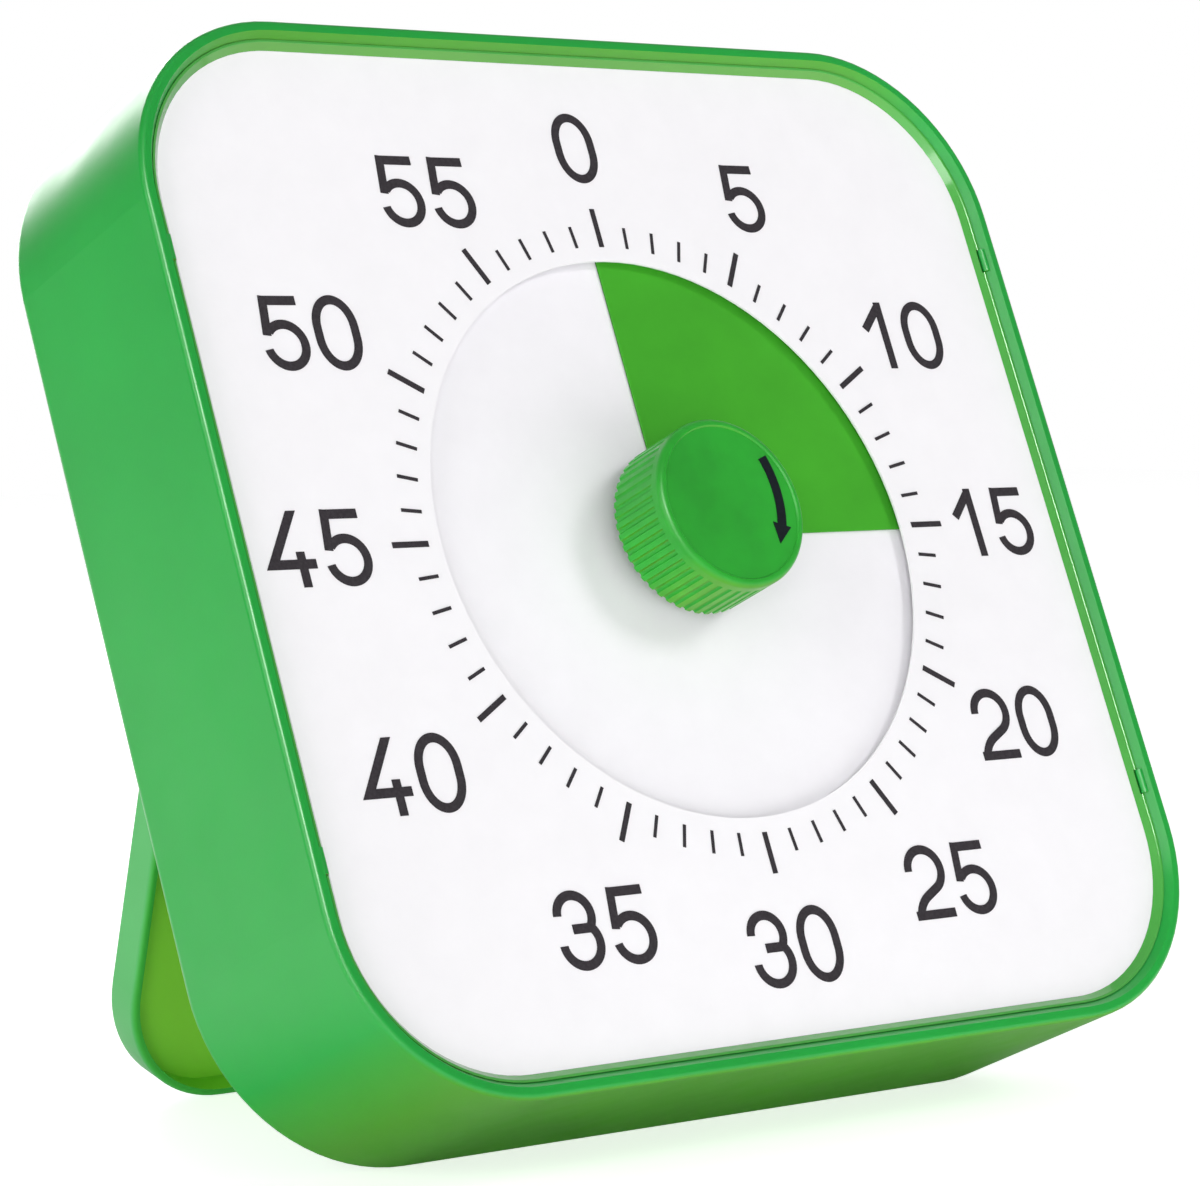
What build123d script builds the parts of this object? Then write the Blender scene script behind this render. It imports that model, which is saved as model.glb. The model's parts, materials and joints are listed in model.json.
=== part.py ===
from build123d import *
import os
from math import atan2, cos, degrees, hypot, pi, radians, sin

# A square countdown timer that leans back on its rear bottom edge and on a flap folded out behind it.
# Every piece is drawn in the dial's frame (mm): x to the right, y up the dial, z out of the dial,
# with z = 0 on the printed face. The finished pieces are then leaned back and set on the floor.

# ---------------------------------------------------------------- driving dimensions
# Stance
lean = 22.8                 # the dial leans back by this angle from upright
flap_opening = 38.2         # the flap's angle to the rear cover when it is folded out

# Casing
case_half = 95.0            # half of the outer width and height
case_corner = 33.5          # outer corner radius
case_wall = 2.5
lip_wall = 3.0              # wall round the dial opening
lip_height = 2.7            # lip above the printed face
lip_bevel_width = 1.0       # the lip's inner face leans outwards towards the front
lip_bevel_depth = 1.5
lip_rounding = 1.0
rear_rounding = 2.0
case_depth = 44.0
shelf_width = 8.5           # ledge that carries the dial
shelf_thickness = 2.0
post_inset = 17.0           # screw posts in the four corners, in from the casing's sides
post_radius = 4.0
rib_thickness = 2.0
pilot_radius = 1.25
pilot_depth = 12.0
seat_gap = 0.3              # clearance round pieces that drop into the casing
fit_gap = 0.02              # clearance of pieces pressed or laid together
running_gap = 0.05          # clearance of a turning fit

# Dial stack
plate_thickness = 1.6
ring_gap = 0.08             # between the retaining ring and the lip that it snaps into
ring_slope_width = 1.15     # the retaining ring's face slopes over this width
ring_land_width = 0.4       # flat crest outside the slope
ring_height = 1.3
ring_rounding = 0.3
notch_place = 52.6          # ring notches, above and below the middle on both sides
notch_height = 1.35         # their axis above the printed face
notch_length = 4.7
notch_radius = 0.85
bead_length = 4.4           # snap beads on the casing's lip, which stand in the notches
bead_radius = 0.7
window_margin = 39.7        # from the plate's edge to the window
window_edge = 0.4           # the plate is bevelled from behind to this thickness round the window
disc_thickness = 0.8
disc_rim = 6.8              # the white disc reaches this far beyond the film
disc_hole_radius = 7.2
slit_half_width = 0.5
film_thickness = 0.3
film_overlap = 3.0          # the film reaches this far beyond the window
stack_gap = 0.2             # air on each side of the film
backing_thickness = 2.0
dish_clearance = 2.5        # beside the film
dish_wall = 2.2             # round the white disc
dish_floor = 1.5

# Printing
print_height = 0.1
digit_stroke = 1.65
digit_height = 13.3
digit_width = 9.2
digit_pitch = 10.95
mark_gap = 2.7              # from the window's edge to the marks
minor_mark_length = 4.1
major_mark_length = 7.4
minor_mark_width = 0.62
major_mark_width = 1.05
number_gap = 11.9           # from the long marks to the middle of the top figure
number_places = {           # each number's clock angle, and how much further out it is than the top one
    "0": (0.0, 0.0), "5": (29.2, 0.45), "10": (60.3, 1.95), "15": (90.0, 0.7), "20": (120.6, 2.65),
    "25": (149.5, 3.4), "30": (180.0, 1.1), "35": (210.0, 4.55), "40": (240.5, 6.1), "45": (270.0, 3.1),
    "50": (299.4, 3.6), "55": (330.9, -0.05),
}

# Knob
knob_radius = 15.6
knob_base = 1.8             # underside above the printed face
knob_front = 15.1
knob_wall = 2.0
knob_edge_rounding = 1.2
knob_rim_width = 1.6
knob_dish = 0.3
knob_dish_bevel = 0.25
flute_count = 48
flute_radius = 0.55
flute_stop = 2.4            # plain band in front of the flutes
knob_boss_radius = 5.0
arrow_radius = 19.0
arrow_centre = (-8.3, 1.45)  # the middle of the arrow's bend, from the knob's axis
arrow_start = 69.5           # clock angles about that middle
arrow_neck = 108.0
arrow_tip = 119.5
arrow_width = 1.9
arrow_head_width = 3.9

# Hub and shaft
shaft_radius = 1.5
arbor_radius = 1.2          # rear part of the shaft, which carries the centre wheel
hub_core_radius = 5.3
hub_flange_radius = 6.5
hub_neck_radius = 4.2
flange_thickness = 0.35

# Movement
movement_half = 28.0
movement_depth = 16.0
movement_wall = 1.2
movement_corner = 4.0
bushing_radius = 3.0
ear_place = 33.0
ear_radius = 3.6
ear_thickness = 2.0
ear_standoff = 4.0
gear_module = 0.35
pivot_radius = 0.4
wheel_thickness = 1.0
pinion_overlap = 0.3
layer_pitch = 2.0
first_layer = 1.2           # inside of the movement's front wall to the centre wheel
pinion_teeth = 8
centre_teeth = 64
third_teeth = 60
fourth_teeth = 48
intermediate_teeth = 40
third_direction = 140.0
fourth_direction = 250.0
intermediate_direction = 300.0
rotor_direction = 335.0
magnet_radius = 2.6
magnet_length = 2.0
stator_thickness = 1.0
stator_air_gap = 0.7
stator_leg = 2.0
stator_top = 14.0
pole_reach = 6.0            # the pole piece round the magnet, beside and above its axis
pole_half_height = 5.0
low_pillar = (12.0, -15.0)  # two posts of the movement's front wall stand on the stator
high_pillar = (7.0, 13.0)
pillar_radius = 1.5
coil_radius = 2.8
coil_length = 16.0
coil_flange = 1.0
coil_place = 19.0           # coil to the right of the shaft, and its middle above it
coil_height = 1.5
cam_radius = 4.4
cam_thickness = 1.2
clutch_radius = 3.0
clutch_thickness = 0.3
collar_radius = 2.0

# Rear cover
cover_thickness = 2.5
flap_inset = 27.4           # from the casing's side to the flap's
flap_thickness = 8.0
flap_corner = 22.0
flap_rim = 1.5
flap_tray_depth = 5.5
flap_rounding = 1.0
flap_pivot_drop = 58.3      # from the casing's top down to the hinge axis
flap_side_gap = 0.6
heel_length = 4.2           # the flap's short end above its hinge axis, which stops against the pan
pan_wall = 2.0
pin_radius = 1.5
pin_reach = 7.5             # pin length inside the flap
pin_chamfer = 0.3
pin_boss_length = 3.5
pin_boss_radius = 3.8
finger_notch_radius = 11.0
finger_notch_rise = 37.0    # above the casing's bottom
finger_notch_depth = 5.0
hanger_head_radius = 4.2
hanger_slot_radius = 2.1
hanger_drop = 13.0          # from the casing's top
hanger_travel = 5.0
screw_radius = 1.5
screw_length = 10.0
screw_head_radius = 2.8
socket_depth = 1.6

# Battery bay
battery_radius = 7.25
battery_length = 49.2
battery_nub_radius = 2.7
battery_nub_length = 1.3
battery_drop = 33.0         # from the casing's top down to the cell's axis
bay_half_length = 30.0
bay_wall = 1.5
bay_gap = 0.4
door_thickness = 2.0
door_half_length = 34.0
door_half_height = 11.0
door_gap = 0.25
contact_thickness = 0.4
contact_half = 5.0
spring_wire_radius = 0.4
spring_radius = 3.6
spring_turns = 3.5

# Sound parts and circuit board
side_inset = 41.0           # switch in from the left side, buzzer in from the right
side_drop = 29.0            # both from the casing's top
buzzer_radius = 11.0
buzzer_thickness = 5.0
sound_hole_radius = 1.1
sound_hole_circle = 5.0
switch_travel = 6.0
switch_height = 4.5
slider_half_length = 3.0
slider_half_width = 2.0
slider_recess = 0.2         # the slider's top lies this far inside the cover's back
slider_sink = 1.6
switch_well_margin = 2.0
switch_well_depth = 1.4
board_length = 40.0
board_width = 30.0
board_thickness = 1.2
board_place = 54.0
board_standoff = 6.0
lead_radius = 0.6
lead_spacing = 1.8
lead_end_gap = 0.4
lane_gap = 3.4              # from the battery bay down to the leads that pass under it

# ---------------------------------------------------------------- places worked out from them
post_place = case_half - post_inset
case_front = lip_height
case_back = lip_height - case_depth
plate_back = -plate_thickness
disc_front = plate_back - 2 * stack_gap - film_thickness
disc_back = disc_front - disc_thickness
film_front = plate_back - stack_gap
film_rear = disc_back - stack_gap - film_thickness
dish_front = film_rear - 2.5 * stack_gap
dish_back = dish_front - dish_floor
backing_back = plate_back - backing_thickness
shelf_back = backing_back - shelf_thickness
cover_front = case_back + cover_thickness
lip_half = case_half - lip_wall
lip_corner = case_corner - lip_wall
ring_half = lip_half - ring_gap
ring_corner = lip_corner - ring_gap
plate_half = lip_half - seat_gap
plate_corner = lip_corner - seat_gap
cover_half = case_half - case_wall - seat_gap
cover_corner = case_corner - case_wall - seat_gap

window_radius = plate_half - window_margin
film_radius = window_radius + film_overlap
disc_radius = film_radius + disc_rim
dish_radius = film_radius + dish_clearance
dish_outer_radius = disc_radius + dish_wall
mark_inner_radius = window_radius + mark_gap
minor_mark_outer_radius = mark_inner_radius + minor_mark_length
major_mark_outer_radius = mark_inner_radius + major_mark_length

flap_half_width = case_half - flap_inset
finger_notch_place = finger_notch_rise - case_half
hanger_height = case_half - hanger_drop
battery_height = case_half - battery_drop
side_place = case_half - side_inset
side_height = case_half - side_drop

pivot_y = case_half - flap_pivot_drop
pivot_z = case_back + flap_thickness / 2
flap_front = case_back + flap_thickness
tilt = radians(lean)
opening = radians(flap_opening)
heel_reach = flap_thickness / 2 * cos(opening) + heel_length * sin(opening)
heel_swing = hypot(heel_length, flap_thickness / 2)
pan_floor = pivot_z + heel_reach + fit_gap
pan_back = pan_floor + pan_wall


def height_over_dial_centre(y, z):
    """How high a point stands above the dial's centre once the timer leans back."""
    return y * cos(tilt) + z * sin(tilt)


rear_edge_centre = height_over_dial_centre(rear_rounding - case_half, case_back + rear_rounding)
floor_height = rear_edge_centre - rear_rounding
foot_offset = flap_thickness / 2 - flap_rounding
foot_drop = height_over_dial_centre(pivot_y, pivot_z) - floor_height - flap_rounding
flap_length = flap_rounding + (foot_drop - foot_offset * sin(opening - tilt)) / cos(opening - tilt)

movement_front = dish_back - stack_gap
movement_back = movement_front - movement_depth
movement_inside = movement_front - movement_wall
lid_front = movement_back + movement_wall
layers = [movement_inside - first_layer - layer_pitch * level for level in range(4)]
stator_front = layers[3] - wheel_thickness - pinion_overlap - 1.5
gear_places = [(0.0, 0.0)]
for teeth, direction in (
    (centre_teeth, third_direction),
    (third_teeth, fourth_direction),
    (fourth_teeth, intermediate_direction),
    (intermediate_teeth, rotor_direction),
):
    reach = gear_module * (teeth + pinion_teeth) / 2
    last_x, last_y = gear_places[-1]
    gear_places.append((last_x + reach * cos(radians(direction)), last_y + reach * sin(radians(direction))))

CORNERS = [(1, 1), (-1, 1), (-1, -1), (1, -1)]


# ---------------------------------------------------------------- basic shapes
def raised(sketch, low, high):
    """A flat outline turned into a slab between two heights."""
    return extrude(Pos(0, 0, low) * sketch, high - low, dir=(0, 0, 1))


def square_slab(half, corner, low, high):
    return raised(RectangleRounded(2 * half, 2 * half, corner), low, high)


def disc(x, y, low, high, radius):
    return Pos(x, y, (low + high) / 2) * Cylinder(radius, high - low)


def tube(x, y, low, high, outer, inner):
    return disc(x, y, low, high, outer) - disc(x, y, low - 1, high + 1, inner)


def block(x_range, y_range, z_range):
    sizes = [high - low for low, high in (x_range, y_range, z_range)]
    middles = [(high + low) / 2 for low, high in (x_range, y_range, z_range)]
    return Pos(*middles) * Box(*sizes)


def cross_rod(x_range, y, z, radius):
    """A round rod along x."""
    low, high = x_range
    return Pos((low + high) / 2, y, z) * Rot(0, 90, 0) * Cylinder(radius, high - low)


def upright_rod(x, y_range, z, radius):
    """A round rod along y."""
    low, high = y_range
    return Pos(x, (low + high) / 2, z) * Rot(90, 0, 0) * Cylinder(radius, high - low)


def screw(x, y, seat, length, radius, head_radius, head_height):
    """A pan-head screw driven towards +z, with its head behind the seat and a cross slot in it."""
    head = disc(x, y, seat - head_height, seat, head_radius)
    head = fillet(head.edges().group_by(Axis.Z)[0], head_height * 0.3)
    slot_length = head_radius * 1.1
    slot_width = head_radius * 0.28
    slot_z = (seat - head_height - 1, seat - head_height * 0.5)
    for half_x, half_y in ((slot_length / 2, slot_width / 2), (slot_width / 2, slot_length / 2)):
        head -= block((x - half_x, x + half_x), (y - half_y, y + half_y), slot_z)
    return head + disc(x, y, seat, seat + length, radius)


# ---------------------------------------------------------------- casing
def make_front_casing():
    shell = square_slab(case_half, case_corner, case_back, case_front)
    shell = fillet(shell.edges().group_by(Axis.Z)[0], rear_rounding)
    shell = fillet(shell.edges().group_by(Axis.Z)[-1], lip_rounding)
    shell -= square_slab(lip_half, lip_corner, backing_back, case_front + 1)
    lip_face = shell.faces().sort_by(Axis.Z)[-1]
    lip_edges = lip_face.inner_wires()[0].edges()
    shell = chamfer(lip_edges, lip_bevel_width, lip_bevel_depth, reference=lip_face)
    shelf_half = case_half - case_wall - shelf_width
    shelf_corner = case_corner - case_wall - shelf_width
    shell -= square_slab(shelf_half, shelf_corner, shelf_back - 1, backing_back + 1)
    inside = square_slab(case_half - case_wall, case_corner - case_wall, case_back - 1, shelf_back)
    shell -= inside
    wall_reach = hypot(case_half - case_corner, case_half - case_corner) + case_corner - case_wall / 2
    post_reach = hypot(post_place, post_place)
    for sx, sy in CORNERS:
        shell += disc(sx * post_place, sy * post_place, cover_front + fit_gap, shelf_back + 1, post_radius)
        rib_depth = (cover_front + 8, shelf_back + 1)
        rib = block((post_reach, wall_reach), (-rib_thickness / 2, rib_thickness / 2), rib_depth)
        shell += Rot(0, 0, degrees(atan2(sy, sx))) * rib
    for sx, sy in CORNERS:
        shell -= disc(
            sx * post_place, sy * post_place, cover_front - 1, cover_front + pilot_depth, pilot_radius
        )
        bead_x = sx * (lip_half + bead_radius * 0.3)
        bead_y = sy * notch_place
        bead_ends = (bead_y - bead_length / 2, bead_y + bead_length / 2)
        shell += upright_rod(bead_x, bead_ends, notch_height, bead_radius)
    return shell


def make_dial_ring():
    ring = square_slab(ring_half, ring_corner, fit_gap, ring_height)
    outlines = []
    for inset, height in ((ring_land_width + ring_slope_width, 0), (ring_land_width, ring_height)):
        size = 2 * (ring_half - inset)
        outlines.append((Pos(0, 0, height) * RectangleRounded(size, size, ring_corner - inset)).face())
    ring -= loft(outlines, ruled=True)
    crest = ring.faces().sort_by(Axis.Z)[-1].inner_wires()[0]
    ring = fillet(crest.edges(), ring_rounding)
    for sx, sy in CORNERS:
        ends = (sy * notch_place - notch_length / 2, sy * notch_place + notch_length / 2)
        ring -= upright_rod(sx * lip_half, ends, notch_height, notch_radius)
    return ring


def make_dial_plate():
    plate = square_slab(plate_half, plate_corner, plate_back, 0)
    plate -= disc(0, 0, plate_back - 1, 1, window_radius)
    rear_face = plate.faces().sort_by(Axis.Z)[0]
    return chamfer(rear_face.inner_wires()[0].edges(), plate_thickness - window_edge)


def make_backing_plate():
    plate = square_slab(plate_half, plate_corner, backing_back, plate_back - fit_gap)
    plate += disc(0, 0, dish_back, plate_back - fit_gap, dish_outer_radius)
    bosses = [(x, y, movement_front - ear_standoff) for x, y in ear_places]
    bosses += [(x, y, board_front) for x, y in board_screw_places]
    for x, y, seat in bosses:
        plate += disc(x, y, seat + fit_gap, backing_back + 0.5, ear_radius)
        plate -= disc(x, y, seat - 1, dish_back - 0.4, pilot_radius * 0.8)
    plate -= disc(0, 0, disc_back, 0, disc_radius + seat_gap / 2)
    plate -= disc(0, 0, dish_front, 0, dish_radius)
    return plate - disc(0, 0, dish_back - 1, 0, bushing_radius + seat_gap / 2)


def make_white_disc():
    sheet = disc(0, 0, disc_back + fit_gap, disc_front, disc_radius)
    sheet -= disc(0, 0, disc_back - 1, disc_front + 1, disc_hole_radius)
    slit_top = film_radius + 2 * slit_half_width
    through = (disc_back - 1, disc_front + 1)
    return sheet - block((-slit_half_width, slit_half_width), (0, slit_top), through)


def make_colour_film():
    """A film disc with one radial cut: a quarter lies in front of the white disc and the rest behind it.

    The two levels meet in a short ramp through the white disc's slit.
    """
    ramp_half = slit_half_width * 0.8
    inner = hub_core_radius + running_gap
    beyond = film_radius + 5
    front = tube(0, 0, film_front - film_thickness, film_front, film_radius, inner)
    front &= block((ramp_half, beyond), (0, beyond), (film_front - 1, film_front + 1))
    rear = tube(0, 0, film_rear, film_rear + film_thickness, film_radius, inner)
    rear -= block((-ramp_half, beyond), (0, beyond), (film_rear - 1, film_rear + 1))
    section = Polygon(
        (ramp_half, film_front),
        (ramp_half, film_front - film_thickness),
        (-ramp_half, film_rear),
        (-ramp_half, film_rear + film_thickness),
        align=None,
    )
    ramp = extrude(Plane.XZ * section, beyond, dir=(0, 1, 0))
    ramp &= tube(0, 0, film_rear - 1, film_front + 1, film_radius, inner)
    return front + ramp + rear


# ---------------------------------------------------------------- printing
def stroke(points):
    """A straight-sided line of print with square ends, through the given points."""
    return trace(Polyline(*points), digit_stroke)


def bow(x, y, radius, start, sweep):
    """A curved line of print: an arc of the given centre-line radius."""
    return trace(CenterArc((x, y), radius, start, sweep), digit_stroke)


def digit_shape(digit):
    """A digit's outline, centred on the origin, with its strokes inside the digit's height and width."""
    half = digit_stroke / 2
    top = digit_height / 2 - half
    right = digit_width / 2 - half
    edge = digit_height / 2
    bowl = right
    overshoot = digit_stroke * 0.12
    low_bowl_y = -top - overshoot + bowl
    if digit == "0":
        outer_x = digit_width / 2
        straight = digit_height * 0.08
        rise = edge + overshoot - straight
        outline = Rectangle(2 * outer_x, 2 * straight)
        hole = Rectangle(2 * outer_x - 2 * digit_stroke, 2 * straight)
        for sy in (1, -1):
            outline += Pos(0, sy * straight) * Ellipse(outer_x, rise)
            hole += Pos(0, sy * straight) * Ellipse(outer_x - digit_stroke, rise - digit_stroke)
        return outline - hole
    if digit == "1":
        stem_x = right * 0.43
        stem = stroke([(stem_x, -edge), (stem_x, edge)])
        flag = stroke([(-right * 0.78, top * 0.2), (stem_x - half * 0.2, top * 0.98)])
        cap = Pos(stem_x + half - outer_box / 2, edge + outer_box / 2) * Rectangle(outer_box, outer_box)
        return stem + flag - cap
    if digit == "2":
        arc_y = top + overshoot - bowl
        turn = radians(-62.0)
        end = (bowl * cos(turn), arc_y + bowl * sin(turn))
        heading = (sin(turn), -cos(turn))
        joint = (end[0] + heading[0] * bowl * 0.8, end[1] + heading[1] * bowl * 0.8)
        shape = bow(0, arc_y, bowl, 180, -242)
        shape += stroke([end, joint])
        foot = (-right, -edge)
        shape += trace(TangentArc(joint, foot, tangent=heading), digit_stroke)
        shape += stroke([(-right - half, -top), (right + half, -top)])
        below = Pos(0, -edge - outer_box / 2) * Rectangle(4 * outer_box, outer_box)
        left = Pos(-right - half - outer_box / 2, -top) * Rectangle(outer_box, outer_box)
        return shape - below - left
    if digit == "3":
        high_bowl = bowl * 0.92
        waist = 40.0
        waist_x = bowl * cos(radians(waist))
        middle = edge * 0.04
        shape = bow(-right * 0.04, top + overshoot - high_bowl, high_bowl, 178, -178 - waist)
        shape += bow(0, low_bowl_y, bowl, waist, -waist - 178)
        return shape + stroke([(-right * 0.3, middle), (waist_x, middle)])
    if digit == "4":
        bar_y = -edge * 0.4
        stem_x = right * 0.5
        shape = stroke([(-right, bar_y), (right + half, bar_y)])
        shape += stroke([(-right * 1.3, bar_y - edge * 0.26), (right * 0.62, edge * 1.1)])
        shape += stroke([(stem_x, -edge), (stem_x, -half * 0.6)])
        above = Pos(0, edge + outer_box / 2) * Rectangle(4 * outer_box, outer_box)
        below = Pos(-outer_box, bar_y - half - outer_box / 2) * Rectangle(2 * outer_box, outer_box)
        return shape - above - below
    shape = bow(right * 0.03, low_bowl_y, bowl, -168, 168 + 140)
    shape += stroke([(-right * 0.72, top), (right + half * 0.2, top)])
    shape += stroke([(-right * 0.66, edge), (-right * 0.87, -half * 0.6)])
    return shape


outer_box = digit_height


def print_layer(sketch, place):
    return extrude(place * sketch, print_height, dir=(0, 0, 1))


def make_dial_numerals():
    figures = []
    for number, (clock_angle, outward) in number_places.items():
        radius = major_mark_outer_radius + number_gap + outward
        x = radius * sin(radians(clock_angle))
        y = radius * cos(radians(clock_angle))
        start = -digit_pitch * (len(number) - 1) / 2
        for index, digit in enumerate(number):
            place = Pos(x + start + digit_pitch * index, y, fit_gap)
            figures += print_layer(digit_shape(digit), place).solids()
    return Compound(children=figures)


def make_minute_marks():
    marks = []
    for minute in range(60):
        major = minute % 5 == 0
        outer = major_mark_outer_radius if major else minor_mark_outer_radius
        width = major_mark_width if major else minor_mark_width
        bar = Rectangle(width, outer - mark_inner_radius)
        place = Rot(0, 0, -6 * minute) * Pos(0, (outer + mark_inner_radius) / 2, fit_gap)
        marks += print_layer(bar, place).solids()
    return Compound(children=marks)


def make_knob_arrow():
    start = 90 - arrow_start
    line = trace(CenterArc((0, 0), arrow_radius, start, arrow_start - arrow_neck - 1), arrow_width)
    tip = 90 - arrow_tip
    neck = 90 - arrow_neck
    barbs = []
    for side in (-1, 1):
        radius = arrow_radius + side * arrow_head_width / 2
        barbs.append((radius * cos(radians(neck)), radius * sin(radians(neck))))
    point = (arrow_radius * cos(radians(tip)), arrow_radius * sin(radians(tip)))
    head = Polygon(barbs[0], barbs[1], point, align=None)
    place = Pos(*arrow_centre, knob_front - knob_dish + fit_gap)
    return print_layer(line, place) + print_layer(head, place)


# ---------------------------------------------------------------- knob, hub and shaft
def make_knob():
    knob = disc(0, 0, knob_base, knob_front, knob_radius)
    knob = fillet(knob.edges().group_by(Axis.Z)[-1], knob_edge_rounding)
    face_radius = knob_radius - knob_rim_width
    knob -= disc(0, 0, knob_front - knob_dish, knob_front + 1, face_radius)
    rim_face = knob.faces().sort_by(Axis.Z)[-1]
    knob = chamfer(rim_face.inner_wires()[0].edges(), knob_dish_bevel)
    flute_top = knob_front - flute_stop
    flutes = []
    for index in range(flute_count):
        angle = 360 * index / flute_count
        flute = disc(knob_radius + flute_radius * 0.25, 0, knob_base - 1, flute_top, flute_radius)
        flutes.append(Rot(0, 0, angle) * flute)
    knob -= flutes
    cavity_radius = knob_radius - knob_wall
    cavity_top = knob_front - knob_wall - knob_dish
    knob -= tube(0, 0, knob_base - 1, cavity_top, cavity_radius, knob_boss_radius)
    bore_top = cavity_top - 0.4
    knob -= disc(0, 0, knob_base - 1, bore_top, shaft_radius + fit_gap)
    return knob


def make_film_hub():
    rear_flange_low = film_rear - running_gap - flange_thickness
    front_flange_high = film_front + running_gap + flange_thickness
    hub = disc(0, 0, rear_flange_low, film_rear - running_gap, hub_flange_radius)
    hub += disc(0, 0, rear_flange_low, front_flange_high, hub_core_radius)
    hub += disc(0, 0, film_front + running_gap, front_flange_high, hub_flange_radius)
    hub += disc(0, 0, film_front, knob_base - fit_gap, hub_neck_radius)
    return hub - disc(0, 0, rear_flange_low - 1, knob_base + 1, shaft_radius + fit_gap)


def make_drive_shaft():
    shoulder = layers[0] + 0.1
    top = knob_front - knob_wall - knob_dish - 0.6
    shaft = disc(0, 0, shoulder, top, shaft_radius)
    shaft += disc(0, 0, movement_back + 0.4, shoulder, arbor_radius)
    collar_top = layers[0] - wheel_thickness - clutch_thickness - 2 * running_gap
    return shaft + disc(0, 0, collar_top - 0.4, collar_top, collar_radius)


def make_clutch_spring():
    top = layers[0] - wheel_thickness - running_gap
    washer = tube(0, 0, top - clutch_thickness, top, clutch_radius, arbor_radius + running_gap)
    for index in range(3):
        slot = block((collar_radius + 0.2, clutch_radius + 1), (-0.3, 0.3), (top - 1, top + 1))
        washer -= Rot(0, 0, 120 * index) * slot
    return washer


def make_alarm_cam():
    top = stator_front
    cam = disc(0, 0, top - cam_thickness, top, cam_radius)
    cam -= disc(0, 0, top - cam_thickness - 1, top + 1, arbor_radius + fit_gap)
    notch_half = 0.9
    notch_y = (cam_radius - 1.0, cam_radius + 1)
    notch = block((-notch_half, notch_half), notch_y, (top - cam_thickness - 1, top + 1))
    return cam - notch


# ---------------------------------------------------------------- gears
def toothed_disc(teeth, phase, low, high):
    """A spur gear with straight-flanked teeth, one of them centred on the phase angle (degrees)."""
    pitch_radius = gear_module * teeth / 2
    tip = pitch_radius + 0.75 * gear_module
    root = pitch_radius - 1.1 * gear_module
    step = 360 / teeth
    outline = []
    for index in range(teeth):
        middle = phase + step * index
        for radius, share in ((root, -0.27), (tip, -0.09), (tip, 0.09), (root, 0.27)):
            angle = radians(middle + share * step)
            outline.append((radius * cos(angle), radius * sin(angle)))
    return Pos(0, 0, low) * extrude(Polygon(*outline, align=None), high - low)


def arbor():
    return disc(0, 0, movement_back + 0.4, movement_inside + 0.6, pivot_radius)


def train_wheel(position, teeth):
    """A wheel of the train with its pinion, which drives the wheel before it, on one arbor."""
    direction = (third_direction, fourth_direction, intermediate_direction, rotor_direction)
    layer = layers[position]
    pinion_layer = layers[position - 1]
    wheel_phase = direction[position] + 180 / teeth * (0 if teeth % 2 else 1)
    pinion_phase = direction[position - 1] + 180
    body = toothed_disc(teeth, wheel_phase, layer - wheel_thickness, layer)
    body += toothed_disc(pinion_teeth, pinion_phase, layer, pinion_layer + pinion_overlap)
    body += arbor()
    hole_place = gear_module * teeth * 0.3
    hole_radius = gear_module * teeth * 0.09
    for index in range(4):
        body -= Rot(0, 0, 45 + 90 * index) * disc(hole_place, 0, layer - 2, layer, hole_radius)
    x, y = gear_places[position]
    return Pos(x, y, 0) * body


def make_centre_wheel():
    phase = third_direction + 180 / centre_teeth
    wheel = toothed_disc(centre_teeth, phase, layers[0] - wheel_thickness, layers[0])
    return wheel - disc(0, 0, layers[0] - 2, layers[0] + 1, arbor_radius + running_gap)


def make_rotor():
    body = toothed_disc(pinion_teeth, rotor_direction + 180, stator_front, layers[3] + pinion_overlap)
    body += disc(0, 0, stator_front - magnet_length, stator_front, magnet_radius)
    body += arbor()
    x, y = gear_places[4]
    return Pos(x, y, 0) * body


# ---------------------------------------------------------------- movement
ear_places = [(-ear_place, 0.0), (ear_place, 0.0), (0.0, ear_place)]
board_front = dish_back - board_standoff
board_screw_places = [(board_place - 10, -15.0), (board_place + 4, 15.0)]


def make_movement_case():
    case = square_slab(movement_half, movement_corner, lid_front + fit_gap, movement_front)
    inside_half = movement_half - movement_wall
    case -= square_slab(inside_half, movement_corner - movement_wall, lid_front - 1, movement_inside)
    case += disc(0, 0, movement_front - 0.5, dish_front - stack_gap, bushing_radius)
    case -= disc(0, 0, movement_inside - 1, 0, shaft_radius + running_gap)
    for x, y in gear_places[1:]:
        case -= disc(x, y, movement_inside - 1, movement_inside + 0.8, pivot_radius + running_gap)
    for x, y in (low_pillar, high_pillar):
        case += disc(x, y, stator_front + fit_gap, movement_inside + 0.5, pillar_radius)
    ear_front = movement_front - ear_standoff
    for x, y in ear_places:
        reach = hypot(x, y)
        arm_start = movement_half - movement_wall / 2
        arm = block((arm_start, reach), (-ear_radius, ear_radius), (ear_front - ear_thickness, ear_front))
        case += Rot(0, 0, degrees(atan2(y, x))) * arm
        case += disc(x, y, ear_front - ear_thickness, ear_front, ear_radius)
        case -= disc(x, y, ear_front - ear_thickness - 1, ear_front + 1, screw_radius * 0.8)
    return case


def make_movement_lid():
    lid = square_slab(movement_half, movement_corner, movement_back, lid_front)
    lid -= disc(0, 0, movement_back - 1, lid_front + 1, arbor_radius + running_gap)
    for x, y in gear_places[1:]:
        lid -= disc(x, y, movement_back - 1, lid_front + 1, pivot_radius + running_gap)
    for side in (-0.5, 0.5):
        y = coil_height + side * lead_spacing
        lid -= disc(coil_place, y, movement_back - 1, lid_front + 1, lead_radius + seat_gap / 2)
    return lid


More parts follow.
